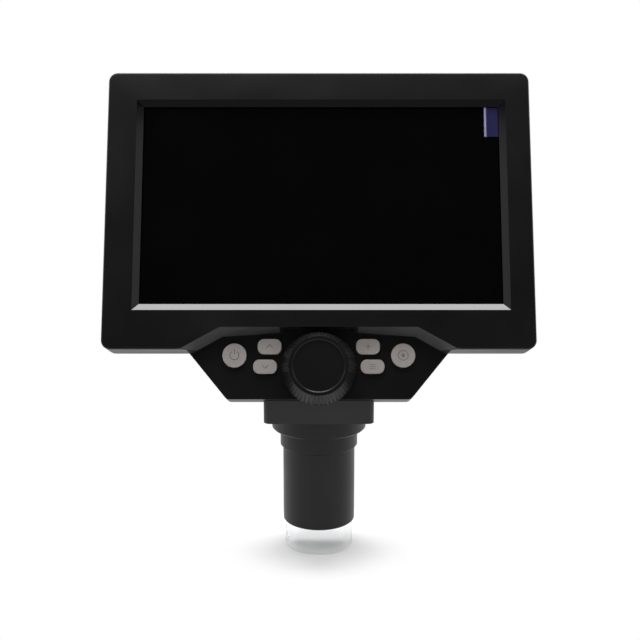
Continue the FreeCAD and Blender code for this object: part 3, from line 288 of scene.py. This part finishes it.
def overlay(material, mask, colour, rough, specular):
    """Paints a second finish, or painted light, over what the material has so far, where the mask is 1."""
    tree = material.node_tree
    target = tree.nodes["Material Output"].inputs["Surface"]
    second = shader_node(tree, "ShaderNodeBsdfPrincipled", values={SOCKET_NAMES["specular"]: specular})
    broad = noise(tree, object_place(tree), OVERLAY_BLOTCH)
    tree.links.new(uneven_colour(tree, broad, colour, OVERLAY_SPREAD), second.inputs["Base Color"])
    gloss = between(tree, broad, rough * (1 - OVERLAY_SPREAD), rough * (1 + OVERLAY_SPREAD))
    tree.links.new(gloss, second.inputs["Roughness"])
    mix_shaders(tree, mask, target.links[0].from_socket, second.outputs[0], target)


def clear_to_shadows(material, share):
    """Lets lamps shine through a clear piece, as they do through real plastic."""
    tree = material.node_tree
    target = tree.nodes["Material Output"].inputs["Surface"]
    path = shader_node(tree, "ShaderNodeLightPath")
    through = shader_node(tree, "ShaderNodeBsdfTransparent")
    factor = maths(tree, "MULTIPLY", path.outputs["Is Shadow Ray"], share)
    mix_shaders(tree, factor, target.links[0].from_socket, through.outputs[0], target)


def span_mask(tree, place, low, high):
    """1 where a socket's value lies between two numbers."""
    above = maths(tree, "GREATER_THAN", place, low)
    return maths(tree, "MULTIPLY", above, maths(tree, "LESS_THAN", place, high))


def window_mask(tree, grow):
    """1 inside the window's rectangle grown on all sides."""
    beyond = []
    for place, middle, half in zip(display_place(tree), WINDOW_MIDDLE, WINDOW_HALF):
        reach = maths(tree, "ABSOLUTE", maths(tree, "SUBTRACT", place, middle))
        beyond.append(maths(tree, "SUBTRACT", reach, half + grow))
    return maths(tree, "LESS_THAN", maths(tree, "MAXIMUM", *beyond), 0.0)


def top_lip_mask(tree):
    """1 on the window's upper lip, which is matt."""
    high = maths(tree, "GREATER_THAN", display_place(tree)[1], WINDOW_MIDDLE[1] + WINDOW_HALF[1])
    return maths(tree, "MULTIPLY", window_mask(tree, LIP), high)


def slope_painted_light_mask(tree):
    """1 on the sloping walls over the control panel, apart from the upright wall round the knob; there the
    case plastic is drawn lighter as painted light.
    """
    across, up, depth = display_place(tree)
    mask = span_mask(tree, maths(tree, "ABSOLUTE", across), *SLOPE_REACH)
    mask = maths(tree, "MULTIPLY", mask, span_mask(tree, up, *SLOPE_HEIGHT))
    return maths(tree, "MULTIPLY", mask, span_mask(tree, depth, *SLOPE_DEPTH))


def seam_mask(tree):
    """1 on the thin seam between the front shell and the rear cover."""
    off = maths(tree, "ABSOLUTE", maths(tree, "SUBTRACT", display_place(tree)[2], SEAM_LEVEL))
    return maths(tree, "LESS_THAN", off, SEAM_HALF)


def tab_mask(tree, width=None):
    """1 on the film's pull tab, or on its folded left edge, which carries a painted highlight, when a width
    is given.
    """
    place = display_place(tree)
    right = maths(tree, "GREATER_THAN", place[0], TAB_LEFT - TAB_SLACK)
    high = maths(tree, "GREATER_THAN", place[1], TAB_BOTTOM - TAB_SLACK)
    both = maths(tree, "MULTIPLY", right, high)
    if width is None:
        return both
    return maths(tree, "MULTIPLY", both, maths(tree, "LESS_THAN", place[0], TAB_LEFT + width))


# Finishes of the nodes that the CAD model gives
case = surface("case_black", CASE, rough=0.42, grain=0.35 * MM, depth=0.02 * MM, edge_sheen_and_wear=0.8, specular=0.28)
overlay(case, window_mask(case.node_tree, LIP), SCREEN, rough=0.12, specular=0.42)
overlay(case, top_lip_mask(case.node_tree), SCREEN, rough=0.3, specular=0.1)
# Painted light: the slopes over the control panel get a lighter tone of the same plastic
overlay(case, slope_painted_light_mask(case.node_tree), SLOPE_PAINTED_LIGHT, rough=0.4, specular=0.45)
overlay(case, seam_mask(case.node_tree), SEAM, rough=0.8, specular=0.0)
film = surface("film_on_screen", SCREEN, rough=0.16, grain=4 * MM, depth=0.004 * MM, edge_sheen_and_wear=0.0,
               specular=0.16)
overlay(film, tab_mask(film.node_tree), TAB, rough=0.35, specular=0.2)
# Painted highlight: a pale strip stands for light on the tab's curled left edge
overlay(film, tab_mask(film.node_tree, TAB_CURL), TAB_CURL_HIGHLIGHT, rough=0.3, specular=0.4)
clear = surface("clear_plastic", CLEAR_PLASTIC, rough=0.3, grain=1.5 * MM, depth=0.002 * MM, edge_sheen_and_wear=0.0,
                spread=0.02, bevel=0.02 * MM, clear=1.0, index=1.18)
clear_to_shadows(clear, share=0.9)
screw = surface("screw_black", SCREW, rough=0.38, grain=0.12 * MM, depth=0.01 * MM, edge_sheen_and_wear=2.5,
                edge=SCREW_EDGE, metal=1.0)

SLOT_FINISH = {
    "case_plastic": case,
    "screen_black": film,
    "film_blue": film,
    "clear_plastic": clear,
    "black_steel": screw,
    "neck_plastic": surface("neck_black", NECK, rough=0.48, grain=0.3 * MM, depth=0.02 * MM, edge_sheen_and_wear=0.9,
                            specular=0.35),
    "black_anodised": surface("anodised_black", ANODISED, rough=0.4, grain=0.12 * MM, depth=0.006 * MM,
                              edge_sheen_and_wear=0.4, edge=ANODISED_EDGE, specular=0.28),
    "knob_plastic": surface("knob_black", KNOB, rough=0.4, grain=0.25 * MM, depth=0.012 * MM, edge_sheen_and_wear=0.15,
                            bevel=0.15 * MM, edge=KNOB_EDGE, specular=0.25),
    "button_plastic": surface("button_grey", BUTTON, rough=0.5, grain=0.2 * MM, depth=0.012 * MM,
                              edge_sheen_and_wear=0.8, edge=BUTTON_EDGE, specular=0.3),
    "lens_glass": surface("lens_glass", LENS_GLASS, rough=0.08, grain=3 * MM, depth=0.002 * MM, edge_sheen_and_wear=0.0,
                          spread=0.02, clear=1.0, index=1.52),
    "steel": surface("steel", STEEL, rough=0.32, grain=0.15 * MM, depth=0.008 * MM, metal=1.0),
    "brass": surface("brass", BRASS, rough=0.3, grain=0.2 * MM, depth=0.008 * MM, metal=1.0),
    "inner_plastic": surface("inner_black", INNER, rough=0.55, grain=0.3 * MM, depth=0.02 * MM),
    "foam_black": surface("foam_black", FOAM, rough=0.9, grain=0.4 * MM, depth=0.1 * MM, strength=1.0),
    "circuit": surface("circuit_green", CIRCUIT, rough=0.3, grain=1.2 * MM, depth=0.03 * MM, spread=0.45),
    "chip_black": surface("chip_black", CHIP, rough=0.6, grain=0.2 * MM, depth=0.02 * MM),
    "lamp_white": surface("lamp_yellow", LAMP, rough=0.35, grain=0.3 * MM, depth=0.02 * MM),
    "battery_wrap": surface("battery_wrap", WRAP, rough=0.3, grain=5 * MM, depth=0.1 * MM),
    "flex_amber": surface("flex_amber", FLEX, rough=0.3, grain=1 * MM, depth=0.02 * MM),
}
signs = surface("button_signs", SYMBOL, rough=0.6, grain=0.15 * MM, depth=0.01 * MM, edge_sheen_and_wear=0.0)


def dress_cad_nodes():
    """Gives every CAD node its finish and smooth shading on its round faces."""
    for part in frame["record"]["subparts"]:
        item = nodes[part["node"]]
        item.data.materials.clear()
        item.data.materials.append(SLOT_FINISH[part["material_slot"]])
        item.modifiers.new("weld", "WELD").merge_threshold = WELD_GAP
        item.modifiers.new("split", "EDGE_SPLIT").split_angle = SHARP_ANGLE
        item.data.polygons.foreach_set("use_smooth", [True] * len(item.data.polygons))


def new_object(name, shape):
    """An object whose mesh comes from a bmesh."""
    mesh = bpy.data.meshes.new(name)
    shape.to_mesh(mesh)
    shape.free()
    item = bpy.data.objects.new(name, mesh)
    bpy.context.scene.collection.objects.link(item)
    return item


def add_piece(name, shape, finish, body, matrix):
    """A new piece from a bmesh, placed by a matrix and riding on a body."""
    item = new_object(name, shape)
    item.data.transform(matrix)
    item.data.materials.append(finish)
    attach(item, body)
    return item


def bar(start, end, width):
    """A straight stroke between two points, as one outline in millimetres."""
    first, last = Vector((*start, 0)), Vector((*end, 0))
    side = (last - first).normalized().cross(Vector((0, 0, 1))) * width / 2
    return [[first + side, last + side, last - side, first - side]]


def arc(radius, width, start, end, steps=24):
    """A stroke round the middle, as outlines in millimetres, with angles in degrees."""
    inner, outer = radius - width / 2, radius + width / 2
    angles = [math.radians(start + (end - start) * k / steps) for k in range(steps + 1)]
    outlines = []
    for low, high in zip(angles, angles[1:]):
        corners = ((low, inner), (high, inner), (high, outer), (low, outer))
        outlines.append([Vector((reach * math.cos(angle), reach * math.sin(angle), 0))
                         for angle, reach in corners])
    return outlines


def stroke(shape, outline):
    """A thin plate with the given outline."""
    low = [shape.verts.new(corner * MM) for corner in outline]
    high = [shape.verts.new(corner * MM + Vector((0, 0, SIGN_THICK))) for corner in outline]
    shape.faces.new(high)
    shape.faces.new(low[::-1])
    for k in range(len(outline)):
        after = (k + 1) % len(outline)
        shape.faces.new([low[k], low[after], high[after], high[k]])


# Each button's place in the display frame and the strokes of its faint generic sign, in millimetres
SIGNS = {
    "button_round_left": (-36.0, -14.6, arc(1.9, 0.42, 125, 415) + bar((0, 0.5), (0, 2.6), 0.42)),
    "button_round_right": (36.0, -14.6, arc(2.1, 0.4, 0, 360, 36) + arc(0.45, 0.88, 0, 360, 20)),
    "button_upper_left": (-21.0, -10.8, bar((-1.4, -0.7), (0, 0.8), 0.42)
                          + bar((1.4, -0.7), (0, 0.8), 0.42)),
    "button_lower_left": (-22.9, -19.4, bar((-1.4, 0.7), (0, -0.8), 0.42)
                          + bar((1.4, 0.7), (0, -0.8), 0.42)),
    "button_upper_right": (21.0, -10.8, bar((-1.3, 0), (1.3, 0), 0.4) + bar((0, -0.2), (0, -1.3), 0.4)
                           + bar((0, 0.2), (0, 1.3), 0.4)),
    "button_lower_right": (22.9, -19.4, bar((-1.3, -0.9), (1.3, -0.9), 0.34) + bar((-1.3, 0), (1.3, 0), 0.34)
                           + bar((-1.3, 0.9), (1.3, 0.9), 0.34)),
}


def add_signs():
    """Thin inlays on the caps, each riding on its button."""
    for body, (across, up, outlines) in SIGNS.items():
        shape = bmesh.new()
        for outline in outlines:
            stroke(shape, outline)
        spot = DISPLAY @ Matrix.Translation((across * MM, up * MM, SIGN_LEVEL))
        add_piece(body + "_sign", shape, signs, body, spot)


def head_height(x, y):
    """The head's dome with a cross sunk into it."""
    reach = math.hypot(x, y)
    dome = HEAD_THICK * (1 - DOME_DROP * (reach / HEAD_RADIUS) ** DOME_POWER)
    in_cross = min(abs(x), abs(y)) < CROSS_HALF and reach < CROSS_REACH
    return dome - (CROSS_DEPTH * (1 - CROSS_SLOPE * reach / CROSS_REACH) if in_cross else 0)


def round_points(radius):
    """Points round a circle."""
    angles = [2 * math.pi * k / SPOKES for k in range(SPOKES)]
    return [(radius * math.cos(angle), radius * math.sin(angle)) for angle in angles]


def screw_shape(shape, spot):
    """One pan head screw whose head looks backwards."""
    rows = []
    for ring in range(1, RINGS + 1):
        rows.append([shape.verts.new(spot + Vector((x, y, -head_height(x, y))))
                     for x, y in round_points(HEAD_RADIUS * ring / RINGS)])
    for radius, level in ((HEAD_RADIUS, 0), (SHANK_RADIUS, 0), (SHANK_RADIUS, SHANK_END)):
        rows.append([shape.verts.new(spot + Vector((x, y, level))) for x, y in round_points(radius)])
    middle = shape.verts.new(spot + Vector((0, 0, -head_height(0, 0))))
    for k in range(SPOKES):
        after = (k + 1) % SPOKES
        shape.faces.new([middle, rows[0][after], rows[0][k]])
        for low, high in zip(rows, rows[1:]):
            shape.faces.new([low[k], low[after], high[after], high[k]])
    shape.faces.new(rows[-1])


def add_screws():
    """All case screws as one piece, in place of the plain ones."""
    shape = bmesh.new()
    for x, y in SCREW_SPOTS:
        screw_shape(shape, Vector((x * MM, y * MM, HEAD_LEVEL)))
    bmesh.ops.recalc_face_normals(shape, faces=shape.faces)
    cross_screws = add_piece("cross_screws", shape, screw, "head", DISPLAY)
    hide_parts("case_screws")


def seen_directly(tree):
    """1 for what the camera sees, also in gloss and through clear pieces."""
    path = shader_node(tree, "ShaderNodeLightPath")
    seen = maths(tree, "ADD", path.outputs["Is Camera Ray"], path.outputs["Is Glossy Ray"])
    seen = maths(tree, "ADD", seen, path.outputs["Is Transmission Ray"])
    return maths(tree, "MINIMUM", seen, 1.0)


def pale_floor():
    """A white floor that keeps the shadow close to the tip and fades into the background."""
    shape = bmesh.new()
    bmesh.ops.create_grid(shape, x_segments=4, y_segments=4, size=FLOOR_HALF)
    floor = new_object("floor", shape)
    material = bpy.data.materials.new("floor_white")
    material.use_nodes = True
    tree = material.node_tree
    tree.nodes.remove(tree.nodes["Principled BSDF"])
    plain = shader_node(tree, "ShaderNodeBsdfDiffuse", values={"Color": FLOOR_COLOUR})
    white = shader_node(tree, "ShaderNodeEmission", values={"Color": WHITE, "Strength": 1.0})
    length = shader_node(tree, "ShaderNodeVectorMath", {"operation": "LENGTH"})
    tree.links.new(object_place(tree), length.inputs[0])
    away = mapped(tree, length.outputs["Value"], STAGE_FADE, settings={"interpolation_type": "SMOOTHSTEP"})
    seen = maths(tree, "MULTIPLY", seen_directly(tree), away)
    target = tree.nodes["Material Output"].inputs["Surface"]
    mix_shaders(tree, seen, plain.outputs[0], white.outputs[0], target)
    floor.data.materials.append(material)


def white_world():
    """White where it is seen and a softer grey where it lights the object.

    In gloss the studio is white behind the object and dim in front of it, where the room is.
    """
    world = bpy.data.worlds.new("studio")
    bpy.context.scene.world = world
    world.use_nodes = True
    tree = world.node_tree
    light = tree.nodes["Background"]
    light.inputs["Color"].default_value = WHITE
    light.inputs["Strength"].default_value = WORLD_LIGHT
    white = shader_node(tree, "ShaderNodeBackground", values={"Color": WHITE})
    split = shader_node(tree, "ShaderNodeSeparateXYZ")
    direction = shader_node(tree, "ShaderNodeTexCoord").outputs["Generated"]
    tree.links.new(direction, split.inputs["Vector"])
    front = mapped(tree, split.outputs["Y"], DIM_FRONT, (DIM_LEVEL, 1.0),
                   {"interpolation_type": "SMOOTHSTEP"})
    gloss = shader_node(tree, "ShaderNodeLightPath").outputs["Is Glossy Ray"]
    rest = maths(tree, "SUBTRACT", 1.0, gloss)
    tree.links.new(maths(tree, "ADD", maths(tree, "MULTIPLY", gloss, front), rest), white.inputs["Strength"])
    target = tree.nodes["World Output"].inputs["Surface"]
    mix_shaders(tree, seen_directly(tree), light.outputs[0], white.outputs[0], target)


def soft_lamp(name, place, target, width, height, power):
    """A rectangular lamp that looks at a point."""
    data = bpy.data.lights.new(name, "AREA")
    data.shape = "RECTANGLE"
    data.size = width
    data.size_y = height
    data.energy = power
    item = bpy.data.objects.new(name, data)
    bpy.context.scene.collection.objects.link(item)
    item.location = place
    item.rotation_euler = (Vector(target) - Vector(place)).to_track_quat("-Z", "Y").to_euler()


def camera():
    """The camera from which the photograph was taken."""
    data = bpy.data.cameras.new("camera")
    data.sensor_width = SENSOR_WIDTH
    data.lens = CAMERA_LENS
    item = bpy.data.objects.new("camera", data)
    bpy.context.scene.collection.objects.link(item)
    item.location = CAMERA_PLACE
    item.rotation_euler = (CAMERA_PITCH, 0, 0)
    bpy.context.scene.camera = item


dress_cad_nodes()
add_signs()
add_screws()
pale_floor()
white_world()
for settings in LAMPS:
    soft_lamp(*settings)
camera()
bpy.context.scene.view_settings.view_transform = "Standard"
